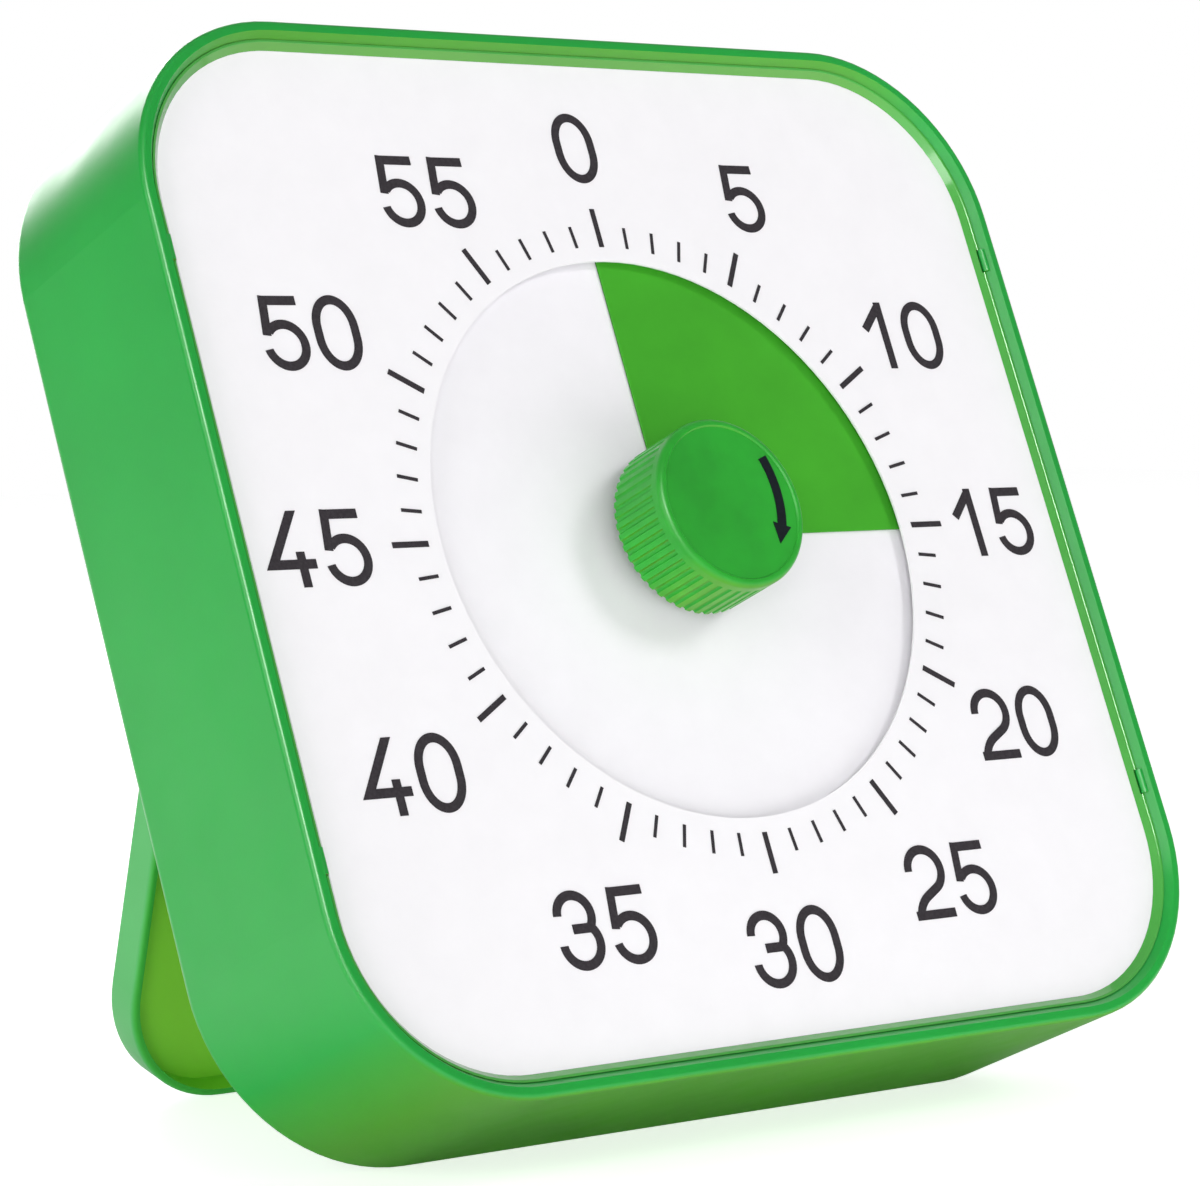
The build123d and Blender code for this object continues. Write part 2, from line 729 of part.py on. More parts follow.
def make_stator():
    """The motor's iron core: a pole piece round the magnet, a leg through the coil and a leg back."""
    low = stator_front - stator_thickness
    rotor_x, rotor_y = gear_places[4]
    depth = (low, stator_front)
    pole_y = (rotor_y - pole_half_height, rotor_y + pole_half_height)
    coil_leg = (coil_place - stator_leg / 2, coil_place + stator_leg / 2)
    return_leg = (high_pillar[0] - stator_leg / 2, high_pillar[0] + stator_leg / 2)
    plate = block((rotor_x - pole_reach, coil_leg[1]), pole_y, depth)
    plate += block(coil_leg, (pole_y[0], stator_top), depth)
    plate += block(return_leg, (pole_y[0], stator_top), depth)
    plate += block((return_leg[0], coil_leg[1]), (stator_top - stator_leg, stator_top), depth)
    return plate - disc(rotor_x, rotor_y, low - 1, stator_front + 1, magnet_radius + stator_air_gap)


def make_motor_coil():
    middle_z = stator_front - stator_thickness / 2
    ends = (coil_height - coil_length / 2, coil_height + coil_length / 2)
    winding = upright_rod(coil_place, ends, middle_z, coil_radius * 0.85)
    for end, inward in ((ends[0], 1), (ends[1], -1)):
        flange = sorted((end, end + inward * coil_flange))
        winding += upright_rod(coil_place, flange, middle_z, coil_radius)
    core_half = stator_leg / 2 + fit_gap
    hole_half = stator_thickness / 2 + fit_gap
    return winding - block(
        (coil_place - core_half, coil_place + core_half),
        (ends[0] - 1, ends[1] + 1),
        (middle_z - hole_half, middle_z + hole_half),
    )


def make_alarm_contact():
    x = cam_radius + 0.5
    top = stator_front + 0.4
    strip = block((x, x + 0.3), (-7.0, 6.0), (stator_front - cam_thickness, top))
    strip += block((x, x + 0.3), (-7.0, -4.0), (lid_front + fit_gap, top))
    return strip


# ---------------------------------------------------------------- rear cover and flap
def flap_outline(margin):
    """The flap's outline seen from behind, grown by the margin. Only its bottom corners are large."""
    half = flap_half_width + margin
    top = pivot_y + (heel_length if margin == 0 else heel_swing + margin)
    bottom = pivot_y - flap_length - margin
    sheet = Pos(0, (top + bottom) / 2) * Rectangle(2 * half, top - bottom)
    low_corners = sheet.vertices().group_by(Axis.Y)[0]
    return fillet(low_corners, flap_corner + margin)


def make_kickstand():
    body = Pos(0, 0, case_back) * extrude(flap_outline(0), flap_thickness)
    foot_edges = body.edges().filter_by(
        lambda edge: edge.center().Y < pivot_y - 1 and abs(edge.tangent_at(0.5).Z) < 0.5
    )
    body = fillet(foot_edges, flap_rounding)
    tray_half = flap_half_width - flap_rim
    tray_top = pivot_y - flap_thickness / 2 - flap_rim
    tray_bottom = pivot_y - flap_length + flap_rim
    tray = Pos(0, (tray_top + tray_bottom) / 2) * Rectangle(2 * tray_half, tray_top - tray_bottom)
    tray = fillet(tray.vertices().group_by(Axis.Y)[0], flap_corner - flap_rim)
    tray = fillet(tray.vertices().group_by(Axis.Y)[-1], flap_rim)
    body -= Pos(0, 0, flap_front - flap_tray_depth) * extrude(tray, flap_tray_depth + 1)
    for side in (1, -1):
        reach = sorted((side * (flap_half_width - pin_reach - 0.5), side * (flap_half_width + 1)))
        body -= cross_rod(reach, pivot_y, pivot_z, pin_radius + running_gap)
    swing = Pos(0, pivot_y, pivot_z) * Rot(flap_opening, 0, 0) * Pos(0, -pivot_y, -pivot_z)
    return swing * body


def make_kickstand_pins():
    pins = []
    boss_end = flap_half_width + flap_side_gap + pan_wall + pin_boss_length
    for side in (1, -1):
        ends = sorted((side * (flap_half_width - pin_reach), side * boss_end))
        pin = cross_rod(ends, pivot_y, pivot_z, pin_radius)
        pins += chamfer(pin.edges().filter_by(GeomType.CIRCLE), pin_chamfer).solids()
    return Compound(children=pins)


bay_low = battery_height - battery_radius - bay_gap - bay_wall
bay_high = battery_height + door_half_height + 3.0 + bay_wall
battery_z = case_back + door_thickness + bay_gap + battery_radius
bay_floor = battery_z + battery_radius + bay_gap
lead_z = battery_z + contact_half - 1.0
switch_back = cover_front + slider_sink + running_gap


def make_rear_cover():
    cover = square_slab(cover_half, cover_corner, case_back, cover_front)
    pan = flap_outline(flap_side_gap + pan_wall)
    cover += Pos(0, 0, case_back) * extrude(pan, pan_back - case_back)
    notch_x = flap_half_width + flap_side_gap
    notch_floor = case_back + finger_notch_depth
    notch_pan_radius = finger_notch_radius + pan_wall
    cover += disc(notch_x, finger_notch_place, case_back, notch_floor + pan_wall, notch_pan_radius)
    bay_x = bay_half_length + bay_wall
    cover += block((-bay_x, bay_x), (bay_low, bay_high), (case_back, bay_floor + bay_wall))
    boss_end = notch_x + pan_wall + pin_boss_length
    for side in (1, -1):
        boss = sorted((side * (notch_x + pan_wall / 2), side * boss_end))
        cover += cross_rod(boss, pivot_y, pivot_z, pin_boss_radius) & block(
            boss, (0, 2 * pivot_y), (case_back, 0)
        )
    cover -= Pos(0, 0, case_back - 1) * extrude(flap_outline(flap_side_gap), pan_floor - case_back + 1)
    cover -= disc(notch_x, finger_notch_place, case_back - 1, notch_floor, finger_notch_radius)
    for side in (1, -1):
        bore = sorted((side * (notch_x - 1), side * (boss_end + 1)))
        cover -= cross_rod(bore, pivot_y, pivot_z, pin_radius + fit_gap)
    door_x = door_half_length + door_gap
    door_y = (battery_height - door_half_height - door_gap, battery_height + door_half_height + door_gap)
    cover -= block((-door_x, door_x), door_y, (case_back - 1, case_back + door_thickness + fit_gap))
    bay_span = (-bay_half_length, bay_half_length)
    cover -= block(bay_span, (bay_low + bay_wall, bay_high - bay_wall), (cover_front, bay_floor))
    cover -= block(bay_span, (bay_low + bay_wall, door_y[1]), (case_back, cover_front + 1))
    for side in (1, -1):
        wire_hole = sorted((side * (bay_half_length - 1), side * (bay_x + 1)))
        cover -= cross_rod(wire_hole, battery_height, lead_z, lead_radius + seat_gap)
    cover -= disc(0, hanger_height, case_back - 1, cover_front + 1, hanger_head_radius)
    cover -= disc(0, hanger_height + hanger_travel, case_back - 1, cover_front + 1, hanger_slot_radius)
    slot_y = (hanger_height, hanger_height + hanger_travel)
    cover -= block((-hanger_slot_radius, hanger_slot_radius), slot_y, (case_back - 1, cover_front + 1))
    for sx, sy in CORNERS:
        x, y = sx * post_place, sy * post_place
        cover -= disc(x, y, case_back - 1, case_back + socket_depth, screw_head_radius + seat_gap)
        cover -= disc(x, y, case_back - 1, cover_front + 1, screw_radius + seat_gap / 2)
    collar = (cover_front - 0.5, cover_front + 3)
    cover += tube(side_place, side_height, *collar, buzzer_radius + 1.5, buzzer_radius + seat_gap / 2)
    cover -= disc(side_place, side_height, case_back - 1, cover_front + 1, sound_hole_radius)
    for index in range(6):
        angle = radians(60 * index)
        hole_x = side_place + sound_hole_circle * cos(angle)
        hole_y = side_height + sound_hole_circle * sin(angle)
        cover -= disc(hole_x, hole_y, case_back - 1, cover_front + 1, sound_hole_radius)
    return cover - switch_slot()


def switch_slot():
    x_range = (
        -side_place - slider_half_length - seat_gap,
        -side_place + slider_half_length + switch_travel + seat_gap,
    )
    y_range = (side_height - slider_half_width - seat_gap, side_height + slider_half_width + seat_gap)
    slot = block(x_range, y_range, (case_back - 1, cover_front + 1))
    well_x = (x_range[0] - switch_well_margin, x_range[1] + switch_well_margin)
    well_y = (y_range[0] - switch_well_margin, y_range[1] + switch_well_margin)
    return slot + block(well_x, well_y, (case_back - 1, case_back + switch_well_depth))


def make_battery_door():
    z_range = (case_back, case_back + door_thickness)
    y_low = battery_height - door_half_height
    y_high = battery_height + door_half_height
    door = block((-door_half_length, door_half_length), (y_low, y_high), z_range)
    door = fillet(door.edges().filter_by(Axis.Z), 1.0)
    tab_front = cover_front + running_gap + 1.0
    for x in (-18.0, 18.0):
        door += block((x - 4, x + 4), (y_high - 1.2, y_high - 0.1), (case_back + 1, tab_front))
        door += block((x - 4, x + 4), (y_high - 1.2, y_high + 1.6), (cover_front + running_gap, tab_front))
    grip_y = y_low + 4.0
    door -= Pos(0, grip_y, case_back) * extrude(SlotOverall(18.0, 6.0), 0.8)
    for index in range(3):
        ridge_y = grip_y - 1.6 + 1.6 * index
        door += block((-6.0, 6.0), (ridge_y - 0.3, ridge_y + 0.3), (case_back + 0.1, case_back + 1.0))
    return door


def make_battery():
    low = -battery_length / 2
    high = battery_length / 2
    cell = cross_rod((low, high), battery_height, battery_z, battery_radius)
    cell = fillet(cell.edges(), 0.6)
    nub = (high - 0.5, high + battery_nub_length)
    return cell + cross_rod(nub, battery_height, battery_z, battery_nub_radius)


def contact_plate(low_x, high_x):
    y_range = (battery_height - contact_half, battery_height + contact_half)
    return block((low_x, high_x), y_range, (battery_z - contact_half, battery_z + contact_half))


def make_battery_contact():
    x = bay_half_length - fit_gap
    tip = battery_length / 2 + battery_nub_length + fit_gap
    plate = contact_plate(x - contact_thickness, x)
    return plate + cross_rod((tip, x - contact_thickness), battery_height, battery_z, 2.0)


def make_battery_spring():
    x = -bay_half_length + fit_gap
    plate = contact_plate(x, x + contact_thickness)
    start = x + contact_thickness + spring_wire_radius * 0.6
    room = -battery_length / 2 - spring_wire_radius - fit_gap - start
    path = Helix(room / spring_turns, room, spring_radius, direction=(0, 0, 1))
    wire = Plane(path @ 0, z_dir=path % 0) * Circle(spring_wire_radius)
    coil = sweep(wire, path, is_frenet=True)
    return plate + Pos(start, battery_height, battery_z) * Rot(0, 90, 0) * coil


def make_buzzer():
    can = disc(side_place, side_height, cover_front + fit_gap, cover_front + buzzer_thickness, buzzer_radius)
    can = fillet(can.edges().group_by(Axis.Z)[-1], 0.6)
    return can - disc(side_place, side_height, cover_front - 1, cover_front + 1, 1.5)


def make_switch_body():
    span = switch_travel + 2 * slider_half_length
    x_low = -side_place - slider_half_length - 2.0
    y_range = (side_height - 4.0, side_height + 4.0)
    body = block((x_low, x_low + span + 4.0), y_range, (switch_back, switch_back + switch_height))
    for x_end in (x_low - 2.5, x_low + span + 3.5):
        body += block((x_end, x_end + 3.0), y_range, (cover_front + fit_gap, switch_back + 1.5))
    return body


def make_sound_switch():
    x_range = (-side_place - slider_half_length, -side_place + slider_half_length)
    y_range = (side_height - slider_half_width, side_height + slider_half_width)
    slider = block(x_range, y_range, (case_back + slider_recess, cover_front + slider_sink))
    for index in range(3):
        x = -side_place - 1.5 + 1.5 * index
        slider -= block((x - 0.3, x + 0.3), y_range, (case_back, case_back + slider_recess + 0.4))
    foot_y = (y_range[0] - 1.0, y_range[1] + 1.0)
    return slider + block(x_range, foot_y, (cover_front + running_gap, cover_front + slider_sink))


# ---------------------------------------------------------------- circuit board and leads
board_back = board_front - board_thickness
board_edge = board_length / 2 - 2
lead_on_board = board_back - lead_radius - fit_gap
lane = bay_low - lane_gap


def make_circuit_board():
    half_width = board_width / 2
    half_length = board_length / 2
    x_range = (board_place - half_width, board_place + half_width)
    board = block(x_range, (-half_length, half_length), (board_back, board_front))
    for x, y in board_screw_places:
        board -= disc(x, y, board_back - 1, board_front + 1, screw_radius * 0.8)
    return board


def make_timer_chip():
    low = board_back - fit_gap
    return block((board_place - 5, board_place + 5), (-6, 4), (low - 1.8, low))


def make_quartz_crystal():
    z = board_back - fit_gap - 1.6
    can = upright_rod(board_place + 9, (-8, 0), z, 1.55)
    return fillet(can.edges(), 0.4)


def lead(points):
    """A round wire through the given points, with each bend as large as its runs allow."""
    radii = []
    for before, here, after in zip(points, points[1:], points[2:]):
        run_in = Vector(*here) - Vector(*before)
        run_out = Vector(*after) - Vector(*here)
        turn = radians(run_in.get_angle(run_out))
        radii.append(0.45 * min(run_in.length, run_out.length) / max(sin(turn / 2) / cos(turn / 2), 0.05))
    path = FilletPolyline(*points, radius=radii)
    return sweep(Plane(path @ 0, z_dir=path % 0) * Circle(lead_radius), path)


def pair_of_leads(points, offset):
    wires = []
    for side in (-0.5, 0.5):
        moved = [(x + side * offset[0], y + side * offset[1], z) for x, y, z in points]
        wires += lead(moved).solids()
    return Compound(children=wires)


def make_battery_leads():
    x = bay_half_length
    short_wire = lead([
        (x, battery_height, lead_z), (x + 6, battery_height, lead_z), (x + 12, lane + 2.5, -22),
        (x + 16, lane - 13.5, -17), (board_place - 6, board_edge, lead_on_board),
    ])
    long_wire = lead([
        (-x, battery_height, lead_z), (-x - 6, battery_height, lead_z), (-x - 7, lane + 4.5, -24),
        (-x + 1, lane, -22.5), (-x + 20, lane - 0.5, -22), (-x + 40, lane + 0.5, -21), (x, lane - 1.5, -20),
        (x + 11, lane - 14.5, -17), (board_place - 9, board_edge, lead_on_board),
    ])
    return Compound(children=[*short_wire.solids(), *long_wire.solids()])


def make_buzzer_leads():
    top = cover_front + buzzer_thickness + lead_end_gap
    return pair_of_leads([
        (side_place, side_height - 6, top), (side_place + 1, side_height - 7, -28),
        (side_place + 3, side_height - 22, -21), (side_place + 1, board_edge, lead_on_board),
    ], (lead_spacing, 0))


def make_switch_leads():
    top = switch_back + switch_height + lead_end_gap
    x = switch_travel / 2 - side_place
    return pair_of_leads([
        (x, side_height, top), (x + 0.5, side_height - 1, -28), (x + 3, side_height - 11, -24),
        (x + 14, lane - 4.5, -21), (x + 36, lane - 5.5, -20), (x + 60, lane - 4.5, -19),
        (x + 80, lane - 7.5, -18), (x + 89, lane - 19.5, -16),
        (board_place - 13, board_edge, lead_on_board),
    ], (0, lead_spacing))


def make_motor_leads():
    top = stator_front - stator_thickness / 2 - coil_radius - lead_end_gap
    return pair_of_leads([
        (coil_place, coil_height, top), (coil_place, coil_height, movement_back - 1),
        (coil_place + 6, coil_height, movement_back - 3), (coil_place + 14, coil_height + 1, -20),
        (board_place - board_width / 2 + 2, coil_height + 2, lead_on_board),
    ], (0, lead_spacing))


def make_screws(places, seat, length, radius, head_radius, head_height):
    screws = []
    for x, y in places:
        screws += screw(x, y, seat, length, radius, head_radius, head_height).solids()
    return Compound(children=screws)


# ---------------------------------------------------------------- assembly
ear_back = movement_front - ear_standoff - ear_thickness
nodes = {
    "front_casing": make_front_casing(),
    "rear_cover": make_rear_cover(),
    "dial_ring": make_dial_ring(),
    "dial_plate": make_dial_plate(),
    "dial_numerals": make_dial_numerals(),
    "minute_marks": make_minute_marks(),
    "backing_plate": make_backing_plate(),
    "white_disc": make_white_disc(),
    "colour_film": make_colour_film(),
    "knob": make_knob(),
    "knob_arrow": make_knob_arrow(),
    "film_hub": make_film_hub(),
    "drive_shaft": make_drive_shaft(),
    "clutch_spring": make_clutch_spring(),
    "alarm_cam": make_alarm_cam(),
    "movement_case": make_movement_case(),
    "movement_lid": make_movement_lid(),
    "centre_wheel": make_centre_wheel(),
    "third_wheel": train_wheel(1, third_teeth),
    "fourth_wheel": train_wheel(2, fourth_teeth),
    "intermediate_wheel": train_wheel(3, intermediate_teeth),
    "rotor": make_rotor(),
    "stator": make_stator(),
    "motor_coil": make_motor_coil(),
    "alarm_contact": make_alarm_contact(),
    "circuit_board": make_circuit_board(),
    "timer_chip": make_timer_chip(),
    "quartz_crystal": make_quartz_crystal(),
    "buzzer": make_buzzer(),
    "switch_body": make_switch_body(),
    "sound_switch": make_sound_switch(),
    "battery": make_battery(),
    "battery_contact": make_battery_contact(),
    "battery_spring": make_battery_spring(),
    "battery_door": make_battery_door(),
    "battery_leads": make_battery_leads(),
    "buzzer_leads": make_buzzer_leads(),
    "switch_leads": make_switch_leads(),
    "motor_leads": make_motor_leads(),
    "kickstand": make_kickstand(),
    "kickstand_pins": make_kickstand_pins(),
    "cover_screws": make_screws(
        [(sx * post_place, sy * post_place) for sx, sy in CORNERS],
        case_back + socket_depth - fit_gap, screw_length, pilot_radius - fit_gap,
        screw_head_radius, socket_depth - 0.2,
    ),
    "movement_screws": make_screws(
        ear_places, ear_back - fit_gap, 4.5, pilot_radius * 0.8 - fit_gap, 2.2, 1.4
    ),
    "board_screws": make_screws(
        board_screw_places, board_back - fit_gap, 5.0, pilot_radius * 0.8 - fit_gap, 2.2, 1.4
    ),
}

leaned = Rot(90 - lean, 0, 0)
outermost = [leaned * nodes[name] for name in ("front_casing", "kickstand", "knob")]
box = Compound(children=outermost).bounding_box()
depth_shift = -(box.min.Y + box.max.Y) / 2
stand = Pos(0, depth_shift, -floor_height) * leaned

os.makedirs("parts", exist_ok=True)
for name, shape in nodes.items():
    export_step(Compound(children=(stand * shape).solids()), f"parts/{name}.step")


def world(x, y, z):
    point = (stand * Pos(x, y, z)).position
    return [round(value / 1000, 6) for value in point]


print("dial centre", world(0, 0, 0))
print("flap hinge", world(0, pivot_y, pivot_z), "length", round(flap_length, 3))
print("door hinge", world(0, battery_height + door_half_height, case_back))
print("hanger", world(0, hanger_height, case_back + cover_thickness / 2))
print("bottom face", world(0, -case_half, (case_back + case_front) / 2))
for index, (x, y) in enumerate(gear_places):
    print("gear", index, world(x, y, layers[0]))
print("dial normal", [round(value, 6) for value in (0, -cos(tilt), sin(tilt))])
print("dial up", [round(value, 6) for value in (0, sin(tilt), cos(tilt))])
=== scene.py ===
"""The visual countdown timer: materials, the film that draws out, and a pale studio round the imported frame."""
import json
import math

import bmesh
import bpy
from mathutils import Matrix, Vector


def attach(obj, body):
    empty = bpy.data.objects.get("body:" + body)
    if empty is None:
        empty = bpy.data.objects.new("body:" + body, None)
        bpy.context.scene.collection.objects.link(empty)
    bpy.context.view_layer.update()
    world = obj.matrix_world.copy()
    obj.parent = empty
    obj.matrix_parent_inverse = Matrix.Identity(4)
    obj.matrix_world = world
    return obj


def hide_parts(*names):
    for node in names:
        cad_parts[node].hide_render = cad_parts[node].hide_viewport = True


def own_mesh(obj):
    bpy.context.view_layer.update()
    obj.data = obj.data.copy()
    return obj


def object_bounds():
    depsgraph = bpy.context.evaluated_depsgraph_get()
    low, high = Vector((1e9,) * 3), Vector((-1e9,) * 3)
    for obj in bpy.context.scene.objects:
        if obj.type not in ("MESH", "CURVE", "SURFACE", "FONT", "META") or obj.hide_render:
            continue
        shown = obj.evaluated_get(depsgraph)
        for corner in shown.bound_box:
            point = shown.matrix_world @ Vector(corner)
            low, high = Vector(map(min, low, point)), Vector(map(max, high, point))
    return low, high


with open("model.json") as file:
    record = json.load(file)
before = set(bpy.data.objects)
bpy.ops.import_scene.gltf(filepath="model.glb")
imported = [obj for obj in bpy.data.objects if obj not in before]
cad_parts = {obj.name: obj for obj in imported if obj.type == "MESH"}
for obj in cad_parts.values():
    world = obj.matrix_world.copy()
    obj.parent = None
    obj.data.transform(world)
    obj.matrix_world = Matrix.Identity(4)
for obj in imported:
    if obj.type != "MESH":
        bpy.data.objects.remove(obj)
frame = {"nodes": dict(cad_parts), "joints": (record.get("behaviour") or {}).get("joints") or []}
cad_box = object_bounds()
nodes = frame["nodes"]

MM = 0.001

# ---------------------------------------------------------------- sizes and places
# Camera, relative to the dial's centre
CAMERA_PLACE = Vector((-459.2, -546.6, 25.4)) * MM
CAMERA_HEADING = 38.92          # degrees to the right of straight at the dial
CAMERA_TILT = 2.85              # degrees below the horizon
CAMERA_ROLL = 0.59              # degrees, with the top leaning to the left
CAMERA_LENS = 123.2
CAMERA_SENSOR = 36.0
CAMERA_NEAR = 10.0 * MM

# Film, in the dial's frame: height of a face above the printed plate
FILM_FRONT = -1.8 * MM
FILM_THICKNESS = 0.3 * MM
FILM_REAR = -3.6 * MM
FILM_RADIUS = 55.0 * MM
FILM_HOLE_RADIUS = 5.4 * MM
FILM_EDGE_ANGLE = 90.0          # clock angle of the film's cut at rest
FILM_LAP = 0.55 * MM            # the drawn-out sector's first edge covers the disc's slit
FILM_STEPS = 96                 # sides of a full circle

# Stand, and where the painted glow of its tray lies
STAND_OPENING = 38.2            # the folded-out stand's angle to the dial
TRAY_FLOOR_DEPTH = -1.2 * MM    # from the stand's hinge axis to just above the tray's floor
TRAY_FOOT_START = 60.0 * MM     # from the hinge axis to where the tray's foot end begins
TRAY_FOOT_FADE = 20.0 * MM

# Floor. The strengths are what it adds to its own white for each kind of ray
FLOOR_HALF = 4.0
FLOOR_WHITE = (0.8, 0.8, 0.8)
FLOOR_GLOW = 0.72               # where the camera sees the floor
FLOOR_GLOSS = 0.8               # where a reflection sees it, away from the object
FLOOR_BOUNCE = 1.2              # light that the bright floor gives to the object
FLOOR_BOUNCE_BELOW = 0.35       # the same, where the object shades the floor
FLOOR_SHADE_REACH = 30.0 * MM   # how far from the object the bounce is back to full

# World
WORLD_LIGHT = 0.30              # what it gives to diffuse surfaces; seen directly, it is white
WORLD_GLOSS = 0.35              # what it gives to reflections, so that the lamps stand out in them

# Lamps, aimed at the dial's centre: name, place in metres, width in metres, watts, the rays it is hidden from
LAMPS = (
    ("key_light", (1.6, -2.92, 2.38), 1.1, 41.0, "visible_glossy"),
    ("front_fill", (-1.5, -1.9, 0.3), 1.1, 16.5, None),
    ("left_fill", (-1.85, -0.35, 0.75), 1.2, 11.5, None),
    ("glint_light", (-0.92, -1.39, 1.22), 0.7, 36.0, "visible_diffuse"),
    ("rim_light", (0.5, 1.8, 0.65), 1.2, 18.0, "visible_diffuse"),
)

# ---------------------------------------------------------------- colours (linear)
SHELL_GREEN = (0.006, 0.345, 0.040)
PAINTED_GLOW_GREEN = (0.075, 0.345, 0.014)   # painted light from below, put on the faces turned to the ground in place of light coming up through the plastic
# painted sheen: the stand's sides, a lighter and greyer copy of the green plastic
STAND_PAINTED_SHEEN_GREEN = (0.085, 0.430, 0.120)
TRAY_RIM_GREEN = (0.040, 0.400, 0.040)
TRAY_PAINTED_GLOW_GREEN = (0.270, 0.740, 0.045)   # painted light: the thin floor of the stand's tray, painted bright yellow-green as light coming through it
KNOB_GREEN = (0.020, 0.355, 0.026)
RING_GREEN = (0.060, 0.360, 0.050)
# painted shade: a darker, yellower green for the ring's faces turned to the ground
RING_PAINTED_SHADE = (0.090, 0.310, 0.020)
FILM_GREEN = (0.050, 0.370, 0.018)
DIAL_WHITE = (0.870, 0.856, 0.880)
DISC_WHITE = (0.868, 0.852, 0.885)
PRINT_GREY = (0.034, 0.029, 0.034)
ARROW_INK = (0.004, 0.008, 0.011)
BLACK_PLASTIC = (0.015, 0.015, 0.017)
GREY_PLASTIC = (0.17, 0.18, 0.19)
ACETAL = (0.74, 0.70, 0.60)
STEEL = (0.56, 0.56, 0.57)
NICKEL = (0.62, 0.58, 0.50)
COPPER = (0.62, 0.24, 0.09)
SOLDER_MASK = (0.008, 0.10, 0.03)
CELL_JACKET = (0.03, 0.035, 0.045)
LEAD_RED = (0.42, 0.02, 0.016)

# ---------------------------------------------------------------- plastics
SUBSURFACE = 0.25                   # share of the light that goes into the green plastic
SUBSURFACE_DEPTH = 3.0 * MM
SUBSURFACE_REACH = (0.5, 1.0, 0.25)
GROUNDWARD = (0.0, -0.44, -0.90)    # down and a little forward: faces turned this way get the painted light from below
PAINTED_GLOW_ONSET = 0.55                   # how squarely a face must look groundward to begin to take the painted light
PAINTED_GLOW_FULL = 0.9                     # and to take it in full
SINK_DEPTH = 0.06 * MM              # faint waves that moulding leaves in a wall
ROUGHNESS_SPREAD = 0.05

# ---------------------------------------------------------------- the dial's frame
joints = {joint["name"]: joint for joint in frame["joints"]}
dial_centre = Vector(joints["knob_turn"]["pos_m"])
dial_out = -Vector(joints["knob_turn"]["axis"]).normalized()
dial_right = Vector((1, 0, 0))
dial_up = dial_out.cross(dial_right).normalized()


def on_dial(x, y, z):
    """A point of the dial's frame, in the scene's frame."""
    return dial_centre + dial_right * x + dial_up * y + dial_out * z


# ---------------------------------------------------------------- node helpers
def tinted(colour, gain):
    return tuple(channel * gain for channel in colour)


class Surface:
    """A material under construction, with short calls for the nodes it is made of."""

    def __init__(self, name):
        self.material = bpy.data.materials.new(name)
        self.material.use_nodes = True
        self.tree = self.material.node_tree
        self.shader = self.tree.nodes["Principled BSDF"]
        self.coordinates = self.node("ShaderNodeTexCoord")
        self.place = self.coordinates.outputs["Object"]

    def node(self, kind, **settings):
        made = self.tree.nodes.new(kind)
        for key, value in settings.items():
            setattr(made, key, value)
        return made

    def link(self, source, target):
        self.tree.links.new(source, target)

    def set(self, **values):
        """Sets the shader's own sockets. A socket's spaces are written as underscores."""
        for key, value in values.items():
            self.shader.inputs[key.replace("_", " ")].default_value = value

    def stretched(self, scale):
        """The object's coordinates, scaled along each axis."""
        mapping = self.node("ShaderNodeMapping")
        mapping.inputs["Scale"].default_value = scale
        self.link(self.place, mapping.inputs["Vector"])
        return mapping.outputs["Vector"]

    def noise(self, scale, detail=3.0, roughness=0.5, place=None):
        made = self.node("ShaderNodeTexNoise")
        made.inputs["Scale"].default_value = scale
        made.inputs["Detail"].default_value = detail
        made.inputs["Roughness"].default_value = roughness
        self.link(place or self.place, made.inputs["Vector"])
        return made.outputs["Fac"]

    def ramp(self, source, low, high, first=0.0, last=1.0):
        """The source's range from low to high, mapped to first to last."""
        made = self.node("ShaderNodeMapRange")
        for key, value in (("From Min", low), ("From Max", high), ("To Min", first), ("To Max", last)):
            made.inputs[key].default_value = value
        self.link(source, made.inputs["Value"])
        return made.outputs["Result"]

    def math(self, operation, first, second):
        made = self.node("ShaderNodeMath", operation=operation)
        for slot, value in zip(made.inputs, (first, second)):
            if isinstance(value, (int, float)):
                slot.default_value = value
            else:
                self.link(value, slot)
        return made.outputs["Value"]

    def along(self, direction, origin):
        """How far each point lies from an origin along a direction, in metres."""
        shift = self.node("ShaderNodeVectorMath", operation="SUBTRACT")
        self.link(self.place, shift.inputs[0])
        shift.inputs[1].default_value = origin
        dot = self.node("ShaderNodeVectorMath", operation="DOT_PRODUCT")
        self.link(shift.outputs["Vector"], dot.inputs[0])
        dot.inputs[1].default_value = direction
        return dot.outputs["Value"]

    def facing(self, direction):
        """How squarely the surface faces a direction: 1 straight at it, 0 side on."""
        dot = self.node("ShaderNodeVectorMath", operation="DOT_PRODUCT")
        self.link(self.coordinates.outputs["Normal"], dot.inputs[0])
        dot.inputs[1].default_value = direction
        return dot.outputs["Value"]

    def blend(self, share, first, second):
        """One colour fading into another. Each colour is a tuple or a node's output."""
        made = self.node("ShaderNodeMix", data_type="RGBA")
        self.link(share, made.inputs["Factor"])
        for name, value in (("A", first), ("B", second)):
            slot = next(s for s in made.inputs if s.name == name and s.type == "RGBA")
            if isinstance(value, tuple):
                slot.default_value = (*value, 1.0)
            else:
                self.link(value, slot)
        return next(s for s in made.outputs if s.type == "RGBA")

    def mottle(self, noise, colour, dark, light, low=0.35, high=0.65):
        """A colour whose gain runs from dark to light with a noise."""
        return self.blend(self.ramp(noise, low, high), tinted(colour, dark), tinted(colour, light))

    def colour(self, source):
        self.link(source, self.shader.inputs["Base Color"])

    def rough(self, source):
        self.link(source, self.shader.inputs["Roughness"])

    def bump(self, *layers):
        """Stacks bump layers, each a height output and its depth in metres."""
        normal = None
        for height, depth in layers:
            made = self.node("ShaderNodeBump")
            made.inputs["Distance"].default_value = depth
            self.link(height, made.inputs["Height"])
            if normal:
                self.link(normal, made.inputs["Normal"])
            normal = made.outputs["Normal"]
        self.link(normal, self.shader.inputs["Normal"])


